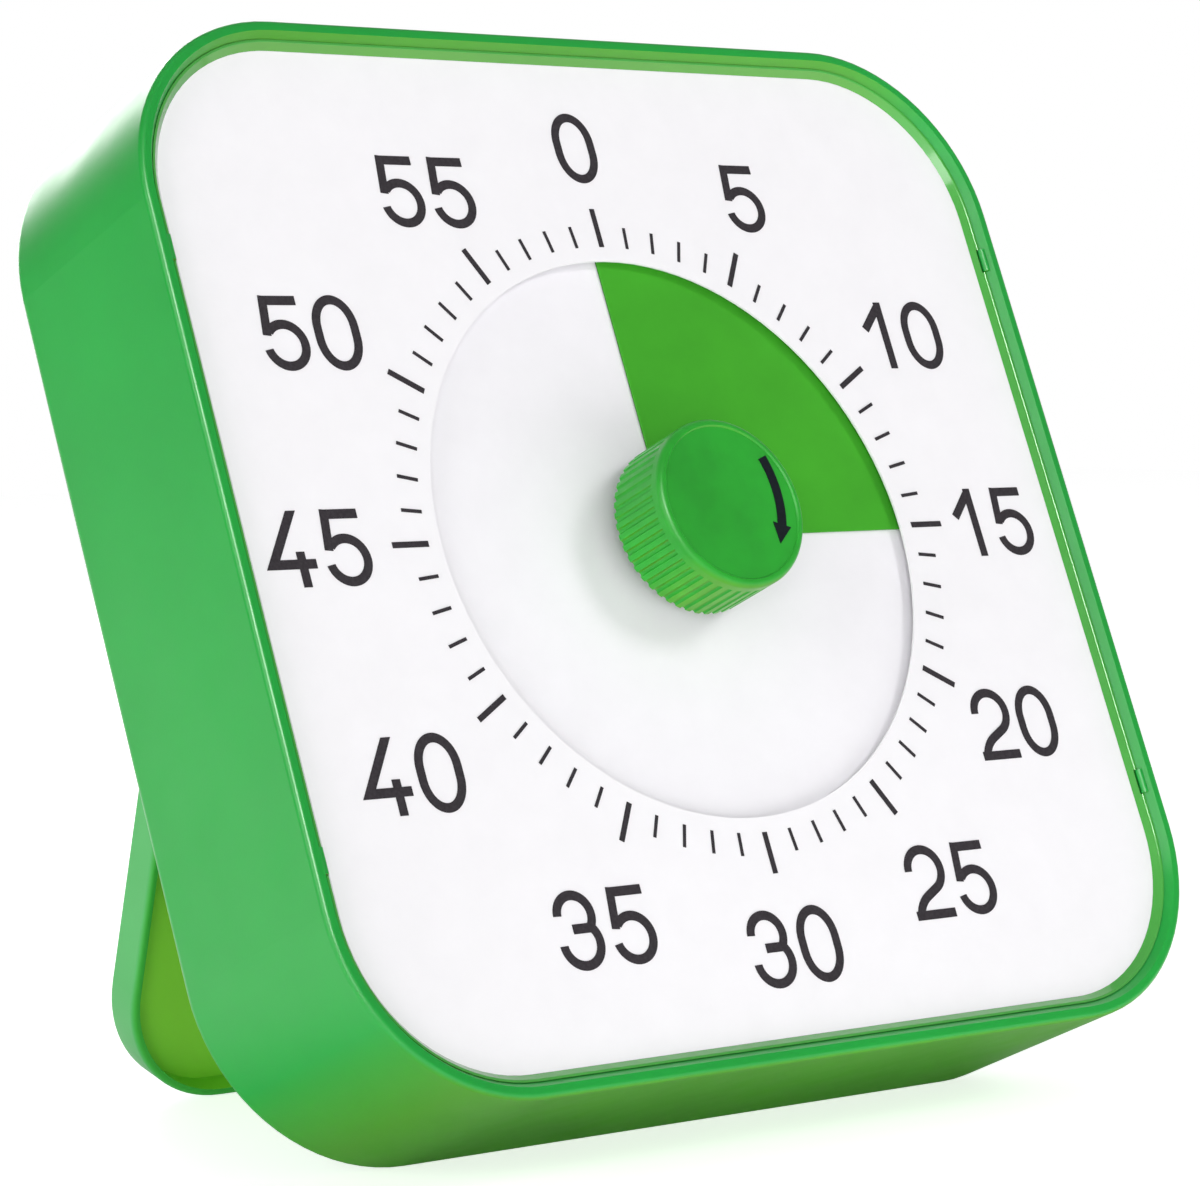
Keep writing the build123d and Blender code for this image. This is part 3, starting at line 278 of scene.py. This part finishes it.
# ---------------------------------------------------------------- materials
def mould_finish(s, roughness, grain, grain_depth, flow):
    """What a mould leaves on any plastic: a fine spark-eroded grain, faint sinks and an uneven sheen."""
    sheen = s.noise(flow * 6, 3.0)
    s.rough(s.ramp(sheen, 0.3, 0.7, roughness - ROUGHNESS_SPREAD, roughness + ROUGHNESS_SPREAD))
    s.bump((s.noise(grain, 2.0, 0.6), grain_depth), (s.noise(flow * 1.6, 2.0), SINK_DEPTH))


def moulded(name, colour, roughness=0.4, grain=1600.0, grain_depth=9e-6, flow=14.0, contrast=0.06, glow=None):
    """Moulded plastic. Grain and flow are the scales of its grain and of its cloudy unevenness.

    A glow colour is painted light from below: it is painted on the faces turned to the ground and stands in for
    light coming up through the plastic.
    """
    s = Surface(name)
    cloud = s.noise(flow, 4.0, 0.6)
    tone = s.mottle(cloud, colour, 1 - contrast, 1 + contrast)
    # painted light: faces turned to the ground fade to the glow colour
    if glow:
        painted_glow_tone = s.mottle(cloud, glow, 1 - contrast, 1 + contrast)
        tone = s.blend(s.ramp(s.facing(GROUNDWARD), PAINTED_GLOW_ONSET, PAINTED_GLOW_FULL), tone, painted_glow_tone)
    s.colour(tone)
    mould_finish(s, roughness, grain, grain_depth, flow)
    return s


def green_plastic(name, colour, roughness, specular, glow=PAINTED_GLOW_GREEN, **details):
    """The casing's plastic, a little translucent, with a weak satin gloss, and painted light from below on the
    faces turned to the ground.
    """
    s = moulded(name, colour, roughness, glow=glow, **details)
    s.set(
        Specular_IOR_Level=specular, Subsurface_Weight=SUBSURFACE, Subsurface_Scale=SUBSURFACE_DEPTH,
        Subsurface_Radius=SUBSURFACE_REACH,
    )
    return s


def ring_plastic():
    """The ring's glossier plastic, which shows the lamps along its crest."""
    # the ring's faces turned to the ground take the painted shade colour
    s = moulded("ring_green_plastic", RING_GREEN, roughness=0.16, grain=1900.0, grain_depth=2e-6, glow=RING_PAINTED_SHADE)
    s.set(Specular_IOR_Level=0.3, Coat_Weight=0.8, Coat_Roughness=0.08)
    return s


def stand_plastic():
    """The stand, with painted light: a painted sheen on its sides, and its tray's thin floor painted yellower
    than its rim and sides, as light coming through it.
    """
    s = Surface("stand_green_plastic")
    pivot = tuple(joints["kickstand_fold"]["pos_m"])
    opening = math.radians(STAND_OPENING)
    inward = tuple(dial_out * math.cos(opening) - dial_up * math.sin(opening))
    hingeward = tuple(dial_out * math.sin(opening) + dial_up * math.cos(opening))
    # painted light: a mask of the tray's floor and of its foot end, which take the painted glow
    deep = s.ramp(s.along(inward, pivot), TRAY_FLOOR_DEPTH, 0.0, 1.0, 0.0)
    floor = s.math("MULTIPLY", deep, s.ramp(s.facing(inward), 0.5, 0.9))
    foot = s.ramp(s.along(hingeward, pivot), -TRAY_FOOT_START, TRAY_FOOT_FADE - TRAY_FOOT_START, 1.0, 0.0)
    foot_wall = s.math("MULTIPLY", foot, s.ramp(s.facing(hingeward), 0.2, 0.8))
    cloud = s.noise(18.0, 4.0, 0.6)
    # painted sheen on the stand's sides
    painted_sheen_tone = s.mottle(cloud, STAND_PAINTED_SHEEN_GREEN, 0.95, 1.05)
    # painted glow of light through the tray's floor
    painted_tray_glow_tone = s.mottle(cloud, TRAY_PAINTED_GLOW_GREEN, 0.96, 1.04)
    outer_tone = s.blend(s.ramp(s.facing(inward), 0.3, 0.9), painted_sheen_tone, TRAY_RIM_GREEN)
    s.colour(s.blend(s.math("MAXIMUM", floor, foot_wall), outer_tone, painted_tray_glow_tone))
    mould_finish(s, roughness=0.42, grain=1600.0, grain_depth=9e-6, flow=14.0)
    s.set(Specular_IOR_Level=0.3)
    return s


def film_sheet():
    """Printed film: a semi-gloss sheet with faint streaks of ink and hairline rubbing."""
    s = Surface("film_green_sheet")
    streaks = s.noise(30.0, 5.0, 0.65, s.stretched((1.0, 2.5, 1.0)))
    s.colour(s.mottle(streaks, FILM_GREEN, 0.93, 1.07))
    rub = s.noise(900.0, 2.0, 0.5, s.stretched((1.0, 0.08, 0.2)))
    s.rough(s.ramp(rub, 0.4, 0.7, 0.36, 0.48))
    s.set(Specular_IOR_Level=0.25)
    s.bump((s.noise(60.0, 2.0), 4e-5))
    return s


def sheet_white(name, colour):
    """Satin card: faint fibre clouding and a fine tooth."""
    s = Surface(name)
    s.colour(s.mottle(s.noise(120.0, 4.0, 0.6), colour, 0.985, 1.01, low=0.3, high=0.7))
    s.rough(s.ramp(s.noise(700.0, 2.0), 0.3, 0.7, 0.5, 0.6))
    s.bump((s.noise(2400.0, 2.0), 4e-6))
    return s


def ink(name, colour):
    """Screen-printed ink: slightly uneven cover and a dull, finely pitted film."""
    s = Surface(name)
    cover = s.noise(1500.0, 3.0, 0.6)
    s.colour(s.mottle(cover, colour, 0.85, 1.25, high=0.7))
    s.rough(s.ramp(s.noise(800.0), 0.3, 0.7, 0.6, 0.75))
    s.set(Specular_IOR_Level=0.15)
    s.bump((cover, 4e-6))
    return s


def metal(name, colour, roughness, stretch=(1.0, 14.0, 1.0)):
    """Turned or rolled metal with fine drawn lines."""
    s = Surface(name)
    s.set(Metallic=1.0)
    lines = s.noise(900.0, 3.0, 0.6, s.stretched(stretch))
    s.colour(s.mottle(lines, colour, 0.88, 1.08, low=0.3, high=0.7))
    s.rough(s.ramp(lines, 0.3, 0.7, roughness - 0.08, roughness + 0.1))
    s.bump((lines, 5e-6))
    return s


def board_mask():
    """Solder mask over a woven board."""
    s = Surface("circuit_board_mask")
    weave = s.noise(1400.0, 1.0, 0.5, s.stretched((1.0, 1.0, 0.3)))
    s.colour(s.mottle(weave, SOLDER_MASK, 0.8, 1.3, low=0.4, high=0.6))
    s.rough(s.ramp(weave, 0.4, 0.6, 0.25, 0.35))
    s.bump((weave, 1e-5))
    return s


def visible_surfaces():
    """The materials of the pieces that can be seen, each with the nodes it goes on."""
    return [
        (
            green_plastic("shell_green_plastic", SHELL_GREEN, roughness=0.34, specular=0.5),
            ["front_casing", "rear_cover", "battery_door"],
        ),
        (
            green_plastic(
                "knob_green_plastic", KNOB_GREEN, roughness=0.34, specular=0.35,
                grain=1900.0, grain_depth=7e-6, flow=60.0, contrast=0.12,
            ),
            ["knob"],
        ),
        (stand_plastic(), ["kickstand"]),
        (ring_plastic(), ["dial_ring"]),
        (sheet_white("dial_white_card", DIAL_WHITE), ["dial_plate", "backing_plate"]),
        (sheet_white("disc_white_card", DISC_WHITE), ["white_disc"]),
        (ink("dial_print_ink", PRINT_GREY), ["dial_numerals", "minute_marks"]),
        (ink("arrow_print_ink", ARROW_INK), ["knob_arrow"]),
        (film_sheet(), ["colour_film"]),
        (
            metal("bright_steel", STEEL, 0.3),
            [
                "drive_shaft", "clutch_spring", "stator", "kickstand_pins", "cover_screws", "movement_screws",
                "board_screws",
            ],
        ),
        (
            moulded("black_plastic", BLACK_PLASTIC, roughness=0.45),
            [
                "film_hub", "movement_case", "movement_lid", "timer_chip", "buzzer", "switch_body",
                "sound_switch",
            ],
        ),
    ]


def inner_surfaces():
    """The materials of the pieces inside, each with the nodes it goes on."""
    return [
        (
            moulded(
                "natural_acetal", ACETAL, roughness=0.35, grain=1200.0, grain_depth=5e-6, flow=40.0,
                contrast=0.04,
            ),
            ["alarm_cam", "centre_wheel", "third_wheel", "fourth_wheel", "intermediate_wheel"],
        ),
        (
            moulded(
                "ferrite_grey", GREY_PLASTIC, roughness=0.5, grain=1000.0, grain_depth=6e-6, flow=50.0,
                contrast=0.12,
            ),
            ["rotor"],
        ),
        (
            metal("nickel_plate", NICKEL, 0.22),
            ["alarm_contact", "quartz_crystal", "battery_contact", "battery_spring"],
        ),
        (metal("enamelled_copper", COPPER, 0.35, (1.0, 1.0, 30.0)), ["motor_coil"]),
        (board_mask(), ["circuit_board"]),
        (
            moulded(
                "cell_jacket", CELL_JACKET, roughness=0.3, grain=500.0, grain_depth=3e-6, flow=30.0,
                contrast=0.1,
            ),
            ["battery"],
        ),
        (
            moulded(
                "red_lead_jacket", LEAD_RED, roughness=0.42, grain=900.0, grain_depth=4e-6, flow=60.0,
                contrast=0.05,
            ),
            ["battery_leads", "buzzer_leads", "switch_leads", "motor_leads"],
        ),
    ]


def dress_cad():
    """Every CAD node gets the material of what it is made of."""
    for surface, names in visible_surfaces() + inner_surfaces():
        for name in names:
            for slot in nodes[name].material_slots:
                slot.material = surface.material


# ---------------------------------------------------------------- film
def film_arc(radius, first, last, lap):
    """Points round an arc between two clock angles, as (x, y) on the dial. It starts the lap early."""
    steps = max(2, round(FILM_STEPS * (last - first) / 360))
    start = math.radians(first) - math.asin(lap / radius)
    angles = [start + (math.radians(last) - start) * i / steps for i in range(steps + 1)]
    return [(radius * math.sin(a), radius * math.cos(a)) for a in angles]


def film_mesh(name, first, last, lap, top):
    """A flat sector of film between two clock angles, its upper face at the height top."""
    outer = film_arc(FILM_RADIUS, first, last, lap)
    inner = film_arc(FILM_HOLE_RADIUS, first, last, lap)
    bm = bmesh.new()
    levels = []
    for height in (top, top - FILM_THICKNESS):
        levels.append([[bm.verts.new(on_dial(x, y, height)) for x, y in points] for points in (outer, inner)])
    (top_out, top_in), (low_out, low_in) = levels
    for i in range(len(outer) - 1):
        bm.faces.new((top_out[i], top_in[i], top_in[i + 1], top_out[i + 1]))
        bm.faces.new((low_out[i + 1], low_in[i + 1], low_in[i], low_out[i]))
        bm.faces.new((top_out[i + 1], low_out[i + 1], low_out[i], top_out[i]))
        bm.faces.new((top_in[i], low_in[i], low_in[i + 1], top_in[i + 1]))
    for i in (0, -1):
        bm.faces.new((top_out[i], low_out[i], low_in[i], top_in[i]))
    bmesh.ops.recalc_face_normals(bm, faces=bm.faces)
    mesh = bpy.data.meshes.new(name)
    bm.to_mesh(mesh)
    bm.free()
    return mesh


def film_piece(name, first, last, lap, top):
    """A sector of film that rides on the knob and moves through the dial as the knob turns."""
    piece = bpy.data.objects.new(name, film_mesh(name, first, last, lap, top))
    bpy.context.scene.collection.objects.link(piece)
    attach(piece, "knob")
    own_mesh(piece)
    return piece


def make_film():
    """The film's drawn-out sector and its rear part, both riding on the knob."""
    front = film_piece("film_front_sector", 0.0, FILM_EDGE_ANGLE, FILM_LAP, FILM_FRONT)
    rear = film_piece("film_rear_part", 0.0, 360.0, 0.0, FILM_REAR + FILM_THICKNESS)
    for piece in (front, rear):
        piece.data.materials.append(nodes["colour_film"].material_slots[0].material)
    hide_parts("colour_film")


# ---------------------------------------------------------------- setting
def past_the_object(s):
    """How far each point of the floor lies outside the object's box, in metres."""
    low, high = cad_box
    middle = ((low[0] + high[0]) / 2, (low[1] + high[1]) / 2, 0.0)
    past = []
    for axis, direction in enumerate(((1.0, 0.0, 0.0), (0.0, 1.0, 0.0))):
        from_middle = s.math("ABSOLUTE", s.along(direction, middle), 0.0)
        past.append(s.math("SUBTRACT", from_middle, (high[axis] - low[axis]) / 2))
    return s.math("MAXIMUM", *past)


def floor_strength(s):
    """How much the floor glows: white for the camera, and a bounce that fades below the object."""
    rays = s.node("ShaderNodeLightPath").outputs
    distance = past_the_object(s)
    seen = s.math("MAXIMUM", rays["Is Camera Ray"], rays["Is Transmission Ray"])
    bounce = s.ramp(distance, -FLOOR_SHADE_REACH / 3, FLOOR_SHADE_REACH, FLOOR_BOUNCE_BELOW, FLOOR_BOUNCE)
    gloss = s.ramp(distance, 0.0, FLOOR_SHADE_REACH, 0.0, FLOOR_GLOSS)
    for_camera = s.math("MULTIPLY", seen, FLOOR_GLOW)
    for_object = s.math("MULTIPLY", rays["Is Diffuse Ray"], bounce)
    for_mirror = s.math("MULTIPLY", rays["Is Glossy Ray"], gloss)
    return s.math("ADD", s.math("ADD", for_camera, for_object), for_mirror)


def make_floor():
    """A white floor that keeps the object's shadow."""
    bpy.ops.mesh.primitive_plane_add(size=2 * FLOOR_HALF, location=(0, 0, 0))
    floor = bpy.context.object
    floor.name = "floor"
    s = Surface("floor_white")
    s.set(Base_Color=(*FLOOR_WHITE, 1.0), Roughness=0.6)
    glow = s.node("ShaderNodeEmission")
    glow.inputs["Color"].default_value = (1.0, 1.0, 1.0, 1.0)
    s.link(floor_strength(s), glow.inputs["Strength"])
    adding = s.node("ShaderNodeAddShader")
    s.link(s.shader.outputs["BSDF"], adding.inputs[0])
    s.link(glow.outputs["Emission"], adding.inputs[1])
    s.link(adding.outputs["Shader"], s.tree.nodes["Material Output"].inputs["Surface"])
    floor.data.materials.append(s.material)


def make_world():
    """A world that the camera sees white, with its own strength for each kind of ray."""
    world = bpy.data.worlds.new("studio")
    bpy.context.scene.world = world
    world.use_nodes = True
    tree = world.node_tree
    background = tree.nodes["Background"]
    background.inputs["Color"].default_value = (1.0, 1.0, 1.0, 1.0)
    rays = tree.nodes.new("ShaderNodeLightPath").outputs
    levels = {"Camera": 1.0, "Transmission": 1.0, "Glossy": WORLD_GLOSS, "Diffuse": WORLD_LIGHT}
    strength = None
    for kind, level in levels.items():
        share = tree.nodes.new("ShaderNodeMath")
        share.operation = "MULTIPLY_ADD"
        tree.links.new(rays[f"Is {kind} Ray"], share.inputs[0])
        share.inputs[1].default_value = level
        share.inputs[2].default_value = 0.0
        if strength:
            tree.links.new(strength, share.inputs[2])
        strength = share.outputs["Value"]
    tree.links.new(strength, background.inputs["Strength"])


def make_lamps():
    for name, place, width, watts, hidden_from in LAMPS:
        data = bpy.data.lights.new(name, "AREA")
        data.shape = "DISK"
        data.size = width
        data.energy = watts
        lamp = bpy.data.objects.new(name, data)
        bpy.context.scene.collection.objects.link(lamp)
        lamp.location = place
        lamp.rotation_euler = (dial_centre - Vector(place)).to_track_quat("-Z", "Y").to_euler()
        if hidden_from:
            setattr(lamp, hidden_from, False)


def make_camera():
    data = bpy.data.cameras.new("camera")
    data.lens = CAMERA_LENS
    data.sensor_width = CAMERA_SENSOR
    data.clip_start = CAMERA_NEAR
    camera = bpy.data.objects.new("camera", data)
    bpy.context.scene.collection.objects.link(camera)
    camera.location = dial_centre + CAMERA_PLACE
    camera.rotation_euler = (
        math.radians(90 - CAMERA_TILT), math.radians(CAMERA_ROLL), -math.radians(CAMERA_HEADING),
    )
    bpy.context.scene.camera = camera


make_camera()
dress_cad()
make_film()
make_floor()
make_world()
make_lamps()
bpy.context.scene.view_settings.view_transform = "Standard"
